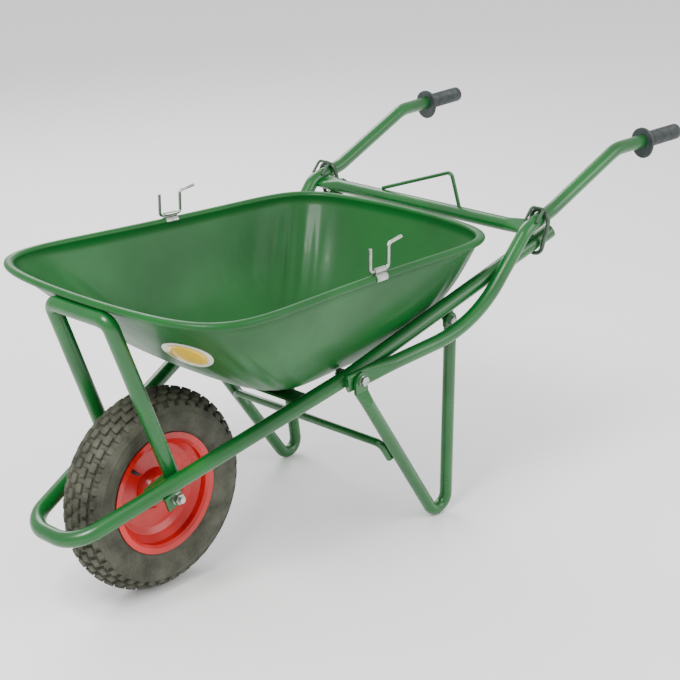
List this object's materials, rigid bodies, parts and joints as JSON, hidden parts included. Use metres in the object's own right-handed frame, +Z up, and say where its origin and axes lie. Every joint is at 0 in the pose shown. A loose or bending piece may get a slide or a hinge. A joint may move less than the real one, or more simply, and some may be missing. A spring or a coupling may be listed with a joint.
{
  "type": "wheelbarrow",
  "caption": "Wheelbarrow with a deep-drawn steel tub, a bent tube frame, bolted handles and V-shaped legs, hinged tool hooks and a pneumatic wheel.",
  "frame": {"origin": "on the ground, under the middle of the object's length and width", "axes": "+X to the rear, from the wheel to the grips; +Y to the right-hand handle; +Z up"},
  "size_m": [1.4898, 0.652, 0.6986],
  "materials": {
    "paint_green": "gloss",
    "paint_red": "gloss",
    "zinc": "satin",
    "bare_bar": "satin",
    "tyre": "matte",
    "rubber": "matte",
    "grip": "satin"
  },
  "bodies": {
    "frame": {"tub": "paint_green", "frame_tube": "paint_green", "front_support": "paint_green", "tub_strap": "paint_green", "axle_plate_left": "paint_green", "axle_plate_right": "paint_green", "axle": "zinc", "axle_nuts": "zinc", "axle_washers": "zinc", "axle_spacers": "zinc", "bearing_spacer": "zinc", "handle_tube_left": "paint_green", "handle_tube_right": "paint_green", "grip_left": "grip", "grip_right": "grip", "cross_bar": "paint_green", "bar_bracket": "paint_green", "leg_left": "paint_green", "leg_right": "paint_green", "leg_brace": "paint_green", "leg_lugs": "paint_green", "main_bolts": "zinc", "main_nuts": "zinc", "main_washers": "zinc", "leg_bolts": "zinc", "leg_nuts": "zinc", "hook_clip_left": "zinc", "hook_clip_right": "zinc", "ring_staple_left": "bare_bar", "ring_staple_right": "bare_bar"},
    "wheel": {"tyre": "tyre", "inner_tube": "rubber", "valve_stem": "rubber", "rim_left": "paint_red", "rim_right": "paint_red", "hub": "paint_red", "wheel_bearings": "zinc"},
    "hook_left": {"tool_hook_left": "zinc"},
    "hook_right": {"tool_hook_right": "zinc"},
    "ring_left": {"lock_ring_left": "bare_bar"},
    "ring_right": {"lock_ring_right": "bare_bar"}
  },
  "joints": [
    {"name": "wheel_spin", "type": "hinge", "parent": "frame", "child": "wheel", "pos_m": [-0.49387, 0, 0.195], "axis": [0, 1, 0], "continuous": true},
    {"name": "hook_left_fold", "type": "hinge", "parent": "frame", "child": "hook_left", "pos_m": [-0.17023, -0.28472, 0.59468], "axis": [0.9974, 0.0554, -0.0459], "range_deg": [0, 110]},
    {"name": "hook_right_fold", "type": "hinge", "parent": "frame", "child": "hook_right", "pos_m": [-0.17023, 0.28472, 0.59468], "axis": [-0.9974, 0.0554, 0.0459], "range_deg": [0, 110]},
    {"name": "ring_left_swing", "type": "hinge", "parent": "frame", "child": "ring_left", "pos_m": [0.29113, -0.29578, 0.59889], "axis": [-0.0661, -0.9624, -0.2633], "range_deg": [0, 45]},
    {"name": "ring_right_swing", "type": "hinge", "parent": "frame", "child": "ring_right", "pos_m": [0.29113, 0.29578, 0.59889], "axis": [0.0661, -0.9624, 0.2633], "range_deg": [0, 45]}
  ]
}
